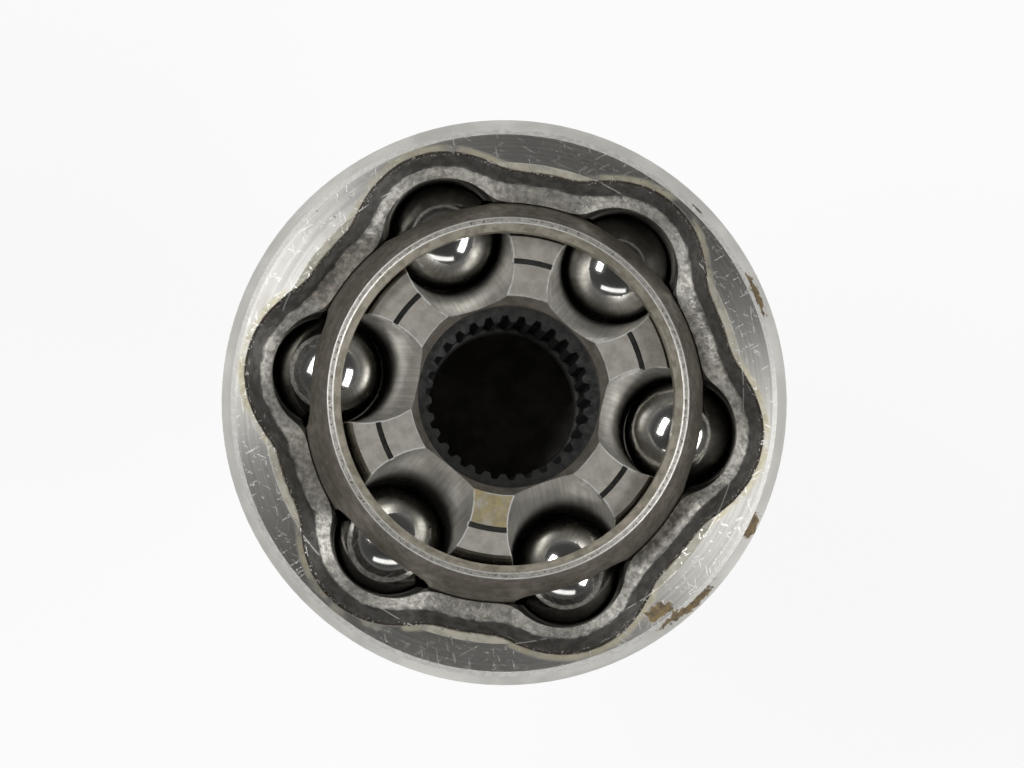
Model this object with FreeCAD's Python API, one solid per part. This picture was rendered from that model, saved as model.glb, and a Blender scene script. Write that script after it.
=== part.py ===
import FreeCAD, Part
import math
import os

from FreeCAD import Vector

# Fixed ball joint for a driven front wheel, in millimetres.
# The joint's centre is the origin, the outer race's mouth faces +Z and its stub axle points to -Z.
# The inner race is bent about X by REST_BEND; the cage takes half of that bend.

# Balls and the two sets of meridian tracks
BALL_COUNT = 6
BALL_D = 17.462
PITCH_R = 29.3
TRACK_OFFSET = 4.2
TRACK_PLAY = 0.2
REST_BEND = 8.4
MAX_BEND = 45.0
FIRST_BALL_AT = 30.0

# Cage
CAGE_WALL = 4.05
CAGE_PLAY = 0.25
CAGE_HALF_WIDTH = 16.0
CAGE_LIP = 2.2
CAGE_BEVEL = 1.25
WINDOW_PLAY = 0.12
WINDOW_CORNER_R = 4.2

# Inner race
LAND_DROP = 0.2
INNER_HALF_WIDTH = 11.6
INNER_BEVEL = 0.5
FACE_GROOVE_R = 22.1
FACE_GROOVE_WIDTH = 0.9
FACE_GROOVE_DEPTH = 0.5
COUNTERBORE_R = 15.0
COUNTERBORE_DEPTH = 3.2
BORE_CHAMFER = 1.0
LEAD_IN_WIDTH = 1.4
LEAD_IN_DEPTH = 2.0

# Splined bore and its retaining ring
BORE_TEETH = 30
BORE_MINOR_R = 12.6
BORE_TOOTH_HEIGHT = 1.0
RING_WIRE_D = 2.0
RING_SEAT_Z = -6.0
RING_PLAY = 0.12
RING_GAP_ANGLE = 32.0

# Mouth of the outer race
FACE_Z = 13.0
LAND_EDGE_Z = 7.1
FORGED_DEPTH = 4.2
FORGED_WIDTH = 2.2
LAND_SPREAD = 1.2
MOUTH_CHAMFER_R = 39.1
MOUTH_CHAMFER_ANGLE = 22.0
FLARE_R = 10.4
FLARE_FROM_Z = 1.0
LOBE_MARGIN = 0.15
LOBE_BLEND = 34
EDGE_BREAK = 0.3

# Outside of the bell
BELL_WALL = 8.45
LIP_STEP = 2.5
LIP_WIDTH = 3.4
FACE_CHAMFER = 0.8
BOOT_GROOVE_WIDTH = 8.5
BOOT_GROOVE_DEPTH = 0.9
BODY_WIDTH = 11.0
BODY_RAMP = 4.0
SEAT_STEP = 0.8
SEAT_R = 30.5
SEAT_WIDTH = 6.0
SEAT_CHAMFER = 0.8

# Inside of the bell
DISH_ANGLE = 50.0
FLOOR_GAP = 2.4
FLOOR_WALL = 10.5
FLOOR_FILLET = 4.0
TRACK_RUNOUT_ANGLE = 6.0
TRACK_EXIT_ANGLE = 30.0

# Stub axle
PILOT_R = 15.5
PILOT_LENGTH = 12.0
PILOT_FILLET = 1.5
STUB_TEETH = 28
STUB_MAJOR_R = 13.9
STUB_TOOTH_HEIGHT = 1.0
STUB_SPLINE_LENGTH = 42.0
SPLINE_TAPER = 1.6
RELIEF_R = 10.8
RELIEF_WIDTH = 3.0
THREAD_ROOT_R = 11.08
THREAD_LENGTH = 24.0
THREAD_CHAMFER = 1.4
CENTRE_HOLE_R = 1.6
CENTRE_HOLE_DEPTH = 7.0
CENTRE_CONE_R = 3.6

# Sizes that follow
BALL_R = BALL_D / 2
TRACK_R = math.hypot(PITCH_R, TRACK_OFFSET)
GROOVE_R = BALL_R + TRACK_PLAY
CAGE_LIMIT = MAX_BEND / 2
PITCH_ANGLE = 360.0 / BALL_COUNT
BALL_AZIMUTHS = [FIRST_BALL_AT + PITCH_ANGLE * index for index in range(BALL_COUNT)]

INNER_RACE_R = PITCH_R - LAND_DROP
CAGE_INNER_R = INNER_RACE_R + CAGE_PLAY
CAGE_OUTER_R = CAGE_INNER_R + CAGE_WALL
CAGE_OPENING_R = CAGE_INNER_R - CAGE_LIP
BORE_SPHERE_R = CAGE_OUTER_R + CAGE_PLAY
LAND_EDGE_R = math.sqrt(BORE_SPHERE_R ** 2 - LAND_EDGE_Z ** 2)
BELL_R = TRACK_R + GROOVE_R + BELL_WALL
MOUTH_TRACK_R = math.sqrt((TRACK_R + GROOVE_R) ** 2 - (LAND_EDGE_Z - TRACK_OFFSET) ** 2)
FLARE_CENTRE_R = MOUTH_TRACK_R - FLARE_R

CAVITY_DEPTH = INNER_RACE_R + FLOOR_GAP
SHOULDER_Z = -(CAVITY_DEPTH + FLOOR_WALL)
PILOT_END_Z = SHOULDER_Z - PILOT_LENGTH
SPLINE_END_Z = PILOT_END_Z - STUB_SPLINE_LENGTH
THREAD_START_Z = SPLINE_END_Z - RELIEF_WIDTH
STUB_END_Z = THREAD_START_Z - THREAD_LENGTH

Z_AXIS = Vector(0, 0, 1)
X_AXIS = Vector(1, 0, 0)
ORIGIN = Vector(0, 0, 0)


# Profiles and solids

def section(radius, height):
    """Point of a profile that lies in the XZ plane."""
    return Vector(radius, 0, height)


def profile_face(start, *steps):
    """Closed face from a start point, straight steps (point) and arc steps (through, end)."""
    edges = []
    here = start
    for step in steps + (start,):
        through, end = step if isinstance(step, tuple) else (None, step)
        if through is None:
            edges.append(Part.makeLine(here, end))
        else:
            edges.append(Part.Arc(here, through, end).toShape())
        here = end
    return Part.Face(Part.Wire(edges))


def turned(face):
    """Solid of revolution of a profile face about Z."""
    return face.revolve(ORIGIN, Z_AXIS, 360)


def toothed_prism(teeth, minor_r, tooth_height, bottom_z, top_z):
    """Prism of a splined shaft: straight flanks, narrow crests and roots."""
    pitch = 2 * math.pi / teeth
    major_r = minor_r + tooth_height
    corners = []
    for tooth in range(teeth):
        centre = tooth * pitch
        for share, radius in ((-0.34, minor_r), (-0.16, major_r), (0.16, major_r), (0.34, minor_r)):
            angle = centre + share * pitch
            corners.append(Vector(radius * math.cos(angle), radius * math.sin(angle), bottom_z))
    outline = Part.Face(Part.makePolygon(corners + corners[:1]))
    return outline.extrude(Vector(0, 0, top_z - bottom_z))


def around(shape, azimuth):
    """Copy of a shape made on the XZ plane, turned to an azimuth about Z."""
    return shape.rotated(ORIGIN, Z_AXIS, azimuth)


# Motion of the balls

def track_angle(azimuth, tilt):
    """Place of a ball along its outer track, as an angle at the track's centre.

    The ball lies where the track meets the cage's plane, which is tilted about X.
    All three angles are in degrees.
    """
    rise = math.tan(math.radians(tilt)) * math.sin(math.radians(azimuth))
    slope = math.atan(rise)
    dip = math.asin(TRACK_OFFSET * math.cos(slope) / TRACK_R)
    return math.degrees(slope - dip)


def ball_ratio(azimuth):
    """Turn of a ball about its outer track's centre, for each unit of cage tilt."""
    sweep = track_angle(azimuth, CAGE_LIMIT) - track_angle(azimuth, -CAGE_LIMIT)
    return sweep / (2 * CAGE_LIMIT)


def ball_centre(azimuth, angle):
    """Centre of a ball that lies at an angle along its outer track."""
    reach = TRACK_R * math.cos(math.radians(angle))
    height = TRACK_OFFSET + TRACK_R * math.sin(math.radians(angle))
    return around(Part.Vertex(section(reach, height)), azimuth).Point


def ball_wander():
    """Largest axial and sideways shift of a ball from its window's centre, over the whole bend."""
    axial, sideways = 0.0, 0.0
    rest_tilt = REST_BEND / 2
    for azimuth in BALL_AZIMUTHS:
        for tilt in (-CAGE_LIMIT, -CAGE_LIMIT / 2, CAGE_LIMIT / 2, CAGE_LIMIT):
            angle = track_angle(azimuth, rest_tilt) + ball_ratio(azimuth) * (tilt - rest_tilt)
            centre = Part.Vertex(ball_centre(azimuth, angle))
            level = centre.rotated(ORIGIN, X_AXIS, -tilt).rotated(ORIGIN, Z_AXIS, -azimuth).Point
            axial = max(axial, abs(level.z))
            sideways = max(sideways, abs(level.y))
    return axial, sideways


# Ball tracks

def track_groove(centre_z, low_angle, high_angle):
    """Round groove swept along a meridian circle whose centre lies on the axis at centre_z."""
    middle = Vector(0, 0, centre_z)
    circle = Part.makeCircle(GROOVE_R, middle + Vector(TRACK_R, 0, 0), Vector(0, 0, 1))
    disc = Part.Face(Part.Wire(circle)).rotated(middle, Vector(0, -1, 0), low_angle)
    return disc.revolve(middle, Vector(0, -1, 0), high_angle - low_angle)


def outer_track():
    """Outer race track: it flares at the mouth and ends in a ball-shaped stop in the bell."""
    low_angle = track_angle(90, -CAGE_LIMIT) - TRACK_RUNOUT_ANGLE
    groove = track_groove(TRACK_OFFSET, low_angle, TRACK_EXIT_ANGLE)
    run_out = Part.makeSphere(GROOVE_R, ball_centre(0, low_angle))
    growth = (FLARE_R - GROOVE_R) / (LAND_EDGE_Z - FLARE_FROM_Z)
    top_r = GROOVE_R + growth * (FACE_Z - FLARE_FROM_Z)
    flare_foot = section(FLARE_CENTRE_R, FLARE_FROM_Z)
    flare = Part.makeCone(GROOVE_R, top_r, FACE_Z - FLARE_FROM_Z, flare_foot)
    return groove.fuse([run_out, flare])


def inner_track():
    """Inner race track: it runs through from face to face, deepest at the front."""
    floor_r = TRACK_R - GROOVE_R
    front_angle = math.degrees(math.asin((INNER_HALF_WIDTH + TRACK_OFFSET) / floor_r))
    back_angle = math.degrees(math.asin((INNER_HALF_WIDTH - TRACK_OFFSET) / floor_r))
    return track_groove(-TRACK_OFFSET, -back_angle - TRACK_RUNOUT_ANGLE, front_angle + TRACK_RUNOUT_ANGLE)


# Outer race

def lobed_wire(land_r, lobe_r, height):
    """Smooth outline of the mouth: a land circle that swells round each track."""
    points = []
    steps_per_lobe = 14
    for index in range(BALL_COUNT * steps_per_lobe):
        azimuth = FIRST_BALL_AT + index * PITCH_ANGLE / steps_per_lobe
        off_centre = (azimuth - FIRST_BALL_AT + PITCH_ANGLE / 2) % PITCH_ANGLE - PITCH_ANGLE / 2
        bearing = math.radians(off_centre)
        under_root = lobe_r ** 2 - (FLARE_CENTRE_R * math.sin(bearing)) ** 2
        lobe = FLARE_CENTRE_R * math.cos(bearing) + math.sqrt(max(under_root, 0.0))
        radius = (land_r ** LOBE_BLEND + lobe ** LOBE_BLEND) ** (1 / LOBE_BLEND)
        turn = math.radians(azimuth)
        points.append(Vector(radius * math.cos(turn), radius * math.sin(turn), height))
    curve = Part.BSplineCurve()
    curve.interpolate(Points=points, PeriodicFlag=True)
    return Part.Wire(curve.toShape())


def mouth_lead_in():
    """Six-lobed funnel that lets the balls and the cage into the bell.

    From the land edge up: a chamfer, the steeper forged wall and a small broken edge. The chamfer is
    at 45 degrees round the balls and flatter between them.
    """
    chamfer_top_z = FACE_Z - FORGED_DEPTH
    chamfer = chamfer_top_z - LAND_EDGE_Z
    lobe_r = FLARE_R + LOBE_MARGIN
    wall_out = chamfer + FORGED_WIDTH * (1 - EDGE_BREAK / FORGED_DEPTH)
    steps = [
        (LAND_EDGE_Z - chamfer, -chamfer, -LAND_SPREAD),
        (chamfer_top_z, chamfer, LAND_SPREAD),
        (FACE_Z - EDGE_BREAK, wall_out, LAND_SPREAD),
        (FACE_Z + EDGE_BREAK, wall_out + 2 * EDGE_BREAK, LAND_SPREAD),
    ]
    wires = [
        lobed_wire(LAND_EDGE_R + out + spread, lobe_r + out, height) for height, out, spread in steps
    ]
    return [Part.makeLoft([low, high], True, True) for low, high in zip(wires, wires[1:])]


def mouth_chamfer():
    """Shallow turned cone that takes the forging's inner edge off between the balls."""
    slope = math.tan(math.radians(MOUTH_CHAMFER_ANGLE))
    return turned(
        profile_face(
            section(LAND_EDGE_R, FACE_Z + EDGE_BREAK),
            section(LAND_EDGE_R, FACE_Z - (MOUTH_CHAMFER_R - LAND_EDGE_R) * slope),
            section(MOUTH_CHAMFER_R + EDGE_BREAK / slope, FACE_Z + EDGE_BREAK),
        )
    )


def bell_cavity():
    """Spherical bore for the cage, and the forged dish below it."""
    dish = math.radians(DISH_ANGLE)
    dish_top = section(BORE_SPHERE_R * math.sin(dish), -BORE_SPHERE_R * math.cos(dish))
    floor_r = (BORE_SPHERE_R - CAVITY_DEPTH * math.cos(dish)) / math.sin(dish)
    side = math.tan(dish / 2) * FLOOR_FILLET
    floor_corner = section(floor_r, -CAVITY_DEPTH)
    floor_edge = section(floor_r - side, -CAVITY_DEPTH)
    wall_edge = floor_corner + section(math.cos(dish), math.sin(dish)) * side
    fillet_centre = floor_edge + section(0, FLOOR_FILLET)
    fillet_middle = fillet_centre + section(math.sin(dish / 2), -math.cos(dish / 2)) * FLOOR_FILLET
    return turned(
        profile_face(
            section(0, BORE_SPHERE_R),
            (section(BORE_SPHERE_R, 0), dish_top),
            wall_edge,
            (fillet_middle, floor_edge),
            section(0, -CAVITY_DEPTH),
        )
    )


def bell_blank():
    """Outside of the bell and of the stub axle, solid, without the stub's spline teeth."""
    lip_r = BELL_R - LIP_STEP
    groove_r = lip_r - BOOT_GROOVE_DEPTH
    groove_top_z = FACE_Z - LIP_WIDTH
    body_top_z = groove_top_z - BOOT_GROOVE_WIDTH
    body_end_z = body_top_z - BODY_WIDTH
    seat_top_z = SHOULDER_Z + SEAT_WIDTH
    shell_end_r = SEAT_R + SEAT_STEP
    drop = body_end_z - seat_top_z
    shrink = BELL_R - shell_end_r
    sweep_r = (drop ** 2 + shrink ** 2) / (2 * shrink)
    half_sweep = math.asin(drop / sweep_r) / 2
    shell_middle = section(
        BELL_R - sweep_r + sweep_r * math.cos(half_sweep),
        body_end_z - sweep_r * math.sin(half_sweep),
    )
    fillet_middle = section(
        PILOT_R + PILOT_FILLET * (1 - math.cos(math.pi / 4)),
        SHOULDER_Z - PILOT_FILLET * (1 - math.sin(math.pi / 4)),
    )
    core_r = STUB_MAJOR_R - STUB_TOOTH_HEIGHT
    return turned(
        profile_face(
            section(0, FACE_Z),
            section(lip_r - FACE_CHAMFER, FACE_Z),
            section(lip_r, FACE_Z - FACE_CHAMFER),
            section(lip_r, groove_top_z),
            section(groove_r, groove_top_z - BOOT_GROOVE_DEPTH),
            section(groove_r, body_top_z),
            section(BELL_R, body_top_z - BODY_RAMP),
            section(BELL_R, body_end_z),
            (shell_middle, section(shell_end_r, seat_top_z)),
            section(SEAT_R, seat_top_z),
            section(SEAT_R, SHOULDER_Z + SEAT_CHAMFER),
            section(SEAT_R - SEAT_CHAMFER, SHOULDER_Z),
            section(PILOT_R + PILOT_FILLET, SHOULDER_Z),
            (fillet_middle, section(PILOT_R, SHOULDER_Z - PILOT_FILLET)),
            section(PILOT_R, PILOT_END_Z + SPLINE_TAPER),
            section(core_r, PILOT_END_Z),
            section(core_r, SPLINE_END_Z),
            section(RELIEF_R, SPLINE_END_Z),
            section(RELIEF_R, THREAD_START_Z),
            section(THREAD_ROOT_R, THREAD_START_Z - (THREAD_ROOT_R - RELIEF_R)),
            section(THREAD_ROOT_R, STUB_END_Z + THREAD_CHAMFER),
            section(THREAD_ROOT_R - THREAD_CHAMFER, STUB_END_Z),
            section(CENTRE_CONE_R, STUB_END_Z),
            section(CENTRE_HOLE_R, STUB_END_Z + (CENTRE_CONE_R - CENTRE_HOLE_R) * math.sqrt(3)),
            section(CENTRE_HOLE_R, STUB_END_Z + CENTRE_HOLE_DEPTH),
            section(0, STUB_END_Z + CENTRE_HOLE_DEPTH),
        )
    )


def stub_teeth():
    """Spline teeth of the stub axle, tapered down to the core at both ends."""
    core_r = STUB_MAJOR_R - STUB_TOOTH_HEIGHT
    envelope = turned(
        profile_face(
            section(0, PILOT_END_Z),
            section(core_r, PILOT_END_Z),
            section(STUB_MAJOR_R, PILOT_END_Z - SPLINE_TAPER),
            section(STUB_MAJOR_R, SPLINE_END_Z + SPLINE_TAPER),
            section(core_r, SPLINE_END_Z),
            section(0, SPLINE_END_Z),
        )
    )
    prism = toothed_prism(STUB_TEETH, core_r, STUB_TOOTH_HEIGHT, SPLINE_END_Z, PILOT_END_Z)
    return prism.common(envelope)


def outer_race():
    """Bell and stub axle, one forging, with the bore, the tracks and the lobed mouth cut in it."""
    cutters = [bell_cavity(), mouth_chamfer()] + mouth_lead_in()
    cutters += [around(outer_track(), azimuth) for azimuth in BALL_AZIMUTHS]
    return bell_blank().cut(cutters).fuse(stub_teeth()).removeSplitter()


# Cage

def cage_window():
    """Cutter for one ball window, a rounded oblong on the +X side."""
    axial, sideways = ball_wander()
    height = BALL_D + 2 * (axial + WINDOW_PLAY)
    length = BALL_D + 2 * (sideways + WINDOW_PLAY)
    depth = CAGE_OUTER_R
    block = Part.makeBox(depth, length, height, Vector(BALL_R, -length / 2, -height / 2))
    corners = [edge for edge in block.Edges if abs(edge.BoundBox.XLength - depth) < 1e-6]
    return block.makeFillet(WINDOW_CORNER_R, corners)


def cage():
    """Cage ring: two concentric spheres, flat ends, open both ways, one window for each ball."""
    edge_r = math.sqrt(CAGE_OUTER_R ** 2 - CAGE_HALF_WIDTH ** 2)
    step_z = math.sqrt(CAGE_INNER_R ** 2 - CAGE_OPENING_R ** 2)
    rim_z = CAGE_HALF_WIDTH
    ring = turned(
        profile_face(
            section(edge_r, -rim_z),
            (section(CAGE_OUTER_R, 0), section(edge_r, rim_z)),
            section(CAGE_OPENING_R + CAGE_BEVEL, rim_z),
            section(CAGE_OPENING_R, rim_z - CAGE_BEVEL),
            section(CAGE_OPENING_R, step_z),
            (section(CAGE_INNER_R, 0), section(CAGE_OPENING_R, -step_z)),
            section(CAGE_OPENING_R, CAGE_BEVEL - rim_z),
            section(CAGE_OPENING_R + CAGE_BEVEL, -rim_z),
        )
    )
    windows = [around(cage_window(), azimuth) for azimuth in BALL_AZIMUTHS]
    return ring.cut(windows).rotated(ORIGIN, X_AXIS, REST_BEND / 2)


# Inner race and its ring

def bore_cutter():
    """Splined bore with its counterbore, lead-in, back chamfer and the retaining ring's seat."""
    face_z = INNER_HALF_WIDTH
    beyond_z = face_z + BORE_CHAMFER
    lead_in_slope = LEAD_IN_WIDTH / LEAD_IN_DEPTH
    back_r = BORE_MINOR_R + BORE_TOOTH_HEIGHT + BORE_CHAMFER
    spline = toothed_prism(BORE_TEETH, BORE_MINOR_R, BORE_TOOTH_HEIGHT, -beyond_z, beyond_z)
    shoulder_z = face_z - COUNTERBORE_DEPTH
    counterbore = turned(
        profile_face(
            section(0, shoulder_z - (COUNTERBORE_R - BORE_MINOR_R) / 2),
            section(BORE_MINOR_R, shoulder_z - (COUNTERBORE_R - BORE_MINOR_R) / 2),
            section(COUNTERBORE_R, shoulder_z),
            section(COUNTERBORE_R, face_z - LEAD_IN_DEPTH),
            section(COUNTERBORE_R + LEAD_IN_WIDTH + BORE_CHAMFER * lead_in_slope, beyond_z),
            section(0, beyond_z),
        )
    )
    back_chamfer = turned(
        profile_face(
            section(0, -face_z + 2 * BORE_CHAMFER),
            section(back_r - 2 * BORE_CHAMFER, -face_z + 2 * BORE_CHAMFER),
            section(back_r + BORE_CHAMFER, -beyond_z),
            section(0, -beyond_z),
        )
    )
    seat_r = BORE_MINOR_R + BORE_TOOTH_HEIGHT + RING_PLAY + RING_WIRE_D / 4
    seat_width = RING_WIRE_D + 2 * RING_PLAY
    ring_seat = Part.makeCylinder(seat_r, seat_width, Vector(0, 0, RING_SEAT_Z - seat_width / 2))
    return [spline, counterbore, back_chamfer, ring_seat]


def inner_race():
    """Splined hub with spherical lands, six tracks and a thin groove in its front face."""
    face_r = math.sqrt(INNER_RACE_R ** 2 - INNER_HALF_WIDTH ** 2)
    blank = turned(
        profile_face(
            section(0, -INNER_HALF_WIDTH),
            section(face_r - INNER_BEVEL, -INNER_HALF_WIDTH),
            section(face_r, INNER_BEVEL - INNER_HALF_WIDTH),
            (section(INNER_RACE_R, 0), section(face_r, INNER_HALF_WIDTH - INNER_BEVEL)),
            section(face_r - INNER_BEVEL, INNER_HALF_WIDTH),
            section(0, INNER_HALF_WIDTH),
        )
    )
    groove_z = INNER_HALF_WIDTH - FACE_GROOVE_DEPTH
    face_groove = turned(
        profile_face(
            section(FACE_GROOVE_R - FACE_GROOVE_WIDTH / 2, groove_z),
            section(FACE_GROOVE_R + FACE_GROOVE_WIDTH / 2, groove_z),
            section(FACE_GROOVE_R + FACE_GROOVE_WIDTH / 2, INNER_HALF_WIDTH + 1),
            section(FACE_GROOVE_R - FACE_GROOVE_WIDTH / 2, INNER_HALF_WIDTH + 1),
        )
    )
    cutters = [around(inner_track(), azimuth) for azimuth in BALL_AZIMUTHS]
    cutters += bore_cutter() + [face_groove]
    return blank.cut(cutters).removeSplitter().rotated(ORIGIN, X_AXIS, REST_BEND)


def retaining_ring():
    """Open round-wire ring in its seat inside the inner race's bore."""
    wire_r = RING_WIRE_D / 2
    centre_r = BORE_MINOR_R + BORE_TOOTH_HEIGHT + RING_WIRE_D / 4 - wire_r
    start = Vector(centre_r, 0, RING_SEAT_Z)
    disc = Part.Face(Part.Wire(Part.makeCircle(wire_r, start, Vector(0, 1, 0))))
    ring = disc.revolve(ORIGIN, Z_AXIS, 360 - RING_GAP_ANGLE)
    return around(ring, 90 + RING_GAP_ANGLE / 2).rotated(ORIGIN, X_AXIS, REST_BEND)


# Balls

def ball(azimuth):
    """One steel ball, in its track and in the cage's plane."""
    return Part.makeSphere(BALL_R, ball_centre(azimuth, track_angle(azimuth, REST_BEND / 2)))


def make_parts():
    """Every separate piece of the joint, by name."""
    parts = {
        "outer_race": outer_race(),
        "cage": cage(),
        "inner_race": inner_race(),
        "retaining_ring": retaining_ring(),
    }
    for index, azimuth in enumerate(BALL_AZIMUTHS, start=1):
        parts[f"ball_{index}"] = ball(azimuth)
    return parts


def main():
    os.makedirs("parts", exist_ok=True)
    for name, shape in make_parts().items():
        solids = shape.Solids
        if len(solids) != 1 or not shape.isValid():
            raise RuntimeError(f"{name}: {len(solids)} solids, valid {shape.isValid()}")
        solids[0].exportStep(f"parts/{name}.step")
        size = shape.BoundBox
        print(f"{name}: {shape.Volume:.0f} mm3, {size.XLength:.1f} x {size.YLength:.1f} x {size.ZLength:.1f} mm")
    for azimuth in BALL_AZIMUTHS:
        print(f"ball at {azimuth:.0f} deg: follows half the bend times {ball_ratio(azimuth):.4f}")


main()
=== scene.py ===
"""Fixed-ball cv joint: steel finishes, rolled axle thread, studio and camera around the CAD frame."""

import logging
import math
from dataclasses import dataclass, field
from enum import Enum
from typing import Any, Optional, Sequence, Union

import bpy
from mathutils import Matrix, Vector

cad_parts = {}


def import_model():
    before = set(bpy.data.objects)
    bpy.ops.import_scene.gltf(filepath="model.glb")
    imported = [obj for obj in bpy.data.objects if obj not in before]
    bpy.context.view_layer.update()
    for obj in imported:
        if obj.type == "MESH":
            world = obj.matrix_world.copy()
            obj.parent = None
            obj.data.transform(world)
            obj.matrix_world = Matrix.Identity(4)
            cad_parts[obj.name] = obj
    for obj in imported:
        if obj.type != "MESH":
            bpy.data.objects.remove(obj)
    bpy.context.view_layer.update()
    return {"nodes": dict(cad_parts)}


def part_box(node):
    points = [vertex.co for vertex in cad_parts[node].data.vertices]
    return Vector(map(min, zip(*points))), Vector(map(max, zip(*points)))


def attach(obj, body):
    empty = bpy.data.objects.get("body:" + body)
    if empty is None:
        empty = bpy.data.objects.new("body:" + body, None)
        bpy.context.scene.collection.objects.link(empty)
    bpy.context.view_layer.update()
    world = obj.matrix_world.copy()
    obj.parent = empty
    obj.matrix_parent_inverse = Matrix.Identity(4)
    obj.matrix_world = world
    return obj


LOG = logging.getLogger("cv_joint")
MM = 0.001
# How far each new noise is moved from the last, so that no two patterns match.
NOISE_STEP = (7.3, 3.1, 5.7)
# Length of one tool mark, and the radii that its spacing holds at: on splines and on turned rings.
STREAK_MM = 26.0
TOOTH_R = 14.0
RING_R = 40.0
# Turns the stretch of a highlight from along the tool marks to across them.
QUARTER_TURN = 0.25

Value = Union[float, Sequence[float], bpy.types.NodeSocket]


class Lay(Enum):
    """Direction that the tool marks of a surface run in."""

    NONE = "no lay, evenly grained"
    ROUND = "around the part's axis, as turned or ground on centres"
    ALONG = "along the part's axis, as rolled or broached"
    GROOVE = "along a ball track, as form ground"


@dataclass(frozen=True)
class Finish:
    """How one zone of steel was made, and what that gives the eye.

    light and dark are the two sRGB tones of its mottling and mottle_mm is the size of the patches.
    rough_low and rough_high go with the light and dark tones. marks_mm is the spacing of the tool
    marks, marks_um their depth and marks_tone how far they darken. grain_mm and grain_um are the
    spacing and depth of the even grain under them.
    """

    light: str
    dark: str
    mottle_mm: float
    rough_low: float
    rough_high: float
    metallic: float = 1.0
    lay: Lay = Lay.NONE
    marks_mm: float = 0.3
    marks_um: float = 0.0
    marks_tone: float = 0.0
    grain_mm: float = 0.35
    grain_um: float = 0.0


@dataclass
class Look:
    """One zone's colour, roughness, metallic share and height in millimetres.

    Each is a socket, or a plain number where it is the same all over.
    """

    colour: bpy.types.NodeSocket
    roughness: bpy.types.NodeSocket
    metallic: Value
    height: Value


# Turned steel: fine rings from the lathe tool, bright where they face a lamp.
TURNED = Finish("#dbd9d4", "#c2c0ba", 9.0, 0.35, 0.43, lay=Lay.ROUND, marks_mm=0.42,
                marks_um=9.0, marks_tone=0.16, grain_mm=0.5, grain_um=1.0)
# Finely turned and wiped bands outside the bell: a satin grey with faint rings.
SATIN = Finish("#cfcdc8", "#c0beb9", 14.0, 0.24, 0.31, metallic=0.85, lay=Lay.ROUND, marks_mm=0.3,
               marks_um=1.5, marks_tone=0.07, grain_mm=0.4, grain_um=0.6)
# Forging scale, tumbled and oiled: blue-grey, half metal, softly dented.
SCALE = Finish("#696764", "#4d4b47", 1.8, 0.38, 0.50, metallic=0.45, grain_mm=1.1, grain_um=38.0)
# Shot-cleaned forging along the mouth: paler, pitted, with sparkling grains.
PITTED = Finish("#e6e3dc", "#a29f98", 1.1, 0.36, 0.56, metallic=0.75, grain_mm=0.5, grain_um=55.0)
# Ground ball track: smooth, dark with oil, lines along the groove.
TRACK = Finish("#aba8a1", "#85827b", 6.0, 0.30, 0.42, lay=Lay.GROOVE, marks_mm=0.25,
               marks_um=1.2, marks_tone=0.12)
# Hard-turned spherical bore: dark, oiled, faint rings.
BORE = Finish("#6b6964", "#474541", 6.0, 0.30, 0.42, lay=Lay.ROUND, marks_mm=0.3,
              marks_um=1.5, marks_tone=0.10)
# Ground seat, pilot and shoulder: brighter than the satin bands, with a tight lay.
GROUND = Finish("#d0cfcc", "#bcbbb8", 12.0, 0.24, 0.33, lay=Lay.ROUND, marks_mm=0.22,
                marks_um=1.2, marks_tone=0.08)
# Rolled spline: burnished flanks with marks along the teeth.
ROLLED = Finish("#b0aeaa", "#9a9893", 2.5, 0.28, 0.38, lay=Lay.ALONG, marks_mm=0.25,
                marks_um=2.5, marks_tone=0.14)
# Rolled thread, left oiled: darker than the spline, with fine rings.
THREAD = Finish("#a19f9b", "#8f8d88", 2.0, 0.30, 0.42, lay=Lay.ROUND, marks_mm=0.2,
                marks_um=1.5, marks_tone=0.12)
# Case-hardened cage sphere: brown-grey satin with a fine speckle.
CAGE_SPHERE = Finish("#857f75", "#6e685f", 1.6, 0.36, 0.46, metallic=0.6, lay=Lay.ROUND,
                     marks_mm=0.28, marks_um=1.5, marks_tone=0.18, grain_mm=0.3, grain_um=2.5)
# Ground end ring of the cage: pale, with fine rings and dark pores.
CAGE_RING = Finish("#cbc7c0", "#a29e96", 1.0, 0.40, 0.50, metallic=0.75, lay=Lay.ROUND,
                   marks_mm=0.25, marks_um=2.0, marks_tone=0.20, grain_mm=0.3, grain_um=2.5)
# Turned lip inside the cage opening: brown-grey.
CAGE_LIP = Finish("#b3ac9d", "#8f887a", 2.0, 0.36, 0.48, metallic=0.6, lay=Lay.ROUND,
                  marks_mm=0.25, marks_um=1.5, marks_tone=0.12)
# Inner race face: hardened, bead blasted, an even warm grey.
RACE_FACE = Finish("#aaa69e", "#928e86", 2.2, 0.46, 0.58, metallic=0.45, grain_mm=0.28, grain_um=9.0)
# Ground sphere of the inner race.
RACE_SPHERE = Finish("#aaa8a4", "#8b8985", 5.0, 0.22, 0.32, lay=Lay.ROUND, marks_mm=0.25,
                     marks_um=1.2, marks_tone=0.10)
# Form-ground race track: bright, with lines along the groove.
RACE_TRACK = Finish("#dedbd5", "#bebbb4", 6.0, 0.40, 0.48, metallic=0.8, lay=Lay.GROOVE,
                    marks_mm=0.45, marks_um=1.0, marks_tone=0.16)
# Painted shade deep in the track beside the ball, laid as a polished band dark with oil.
RUN_IN_AND_SHADE = Finish("#6f6c65", "#524f49", 5.0, 0.24, 0.34, metallic=0.9, lay=Lay.GROOVE,
                marks_mm=0.35, marks_um=0.5, marks_tone=0.10)
# Broached bore, near black: painted shade down the deep hole and in the thin face groove, with oil
# and dust; only its tooth tips catch light.
BROACHED_AND_SHADE = Finish("#1a1917", "#0d0d0c", 1.4, 0.62, 0.80, metallic=0.0, lay=Lay.ALONG,
                  marks_mm=0.3, marks_um=3.0, marks_tone=0.2, grain_mm=0.9, grain_um=40.0)
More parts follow.
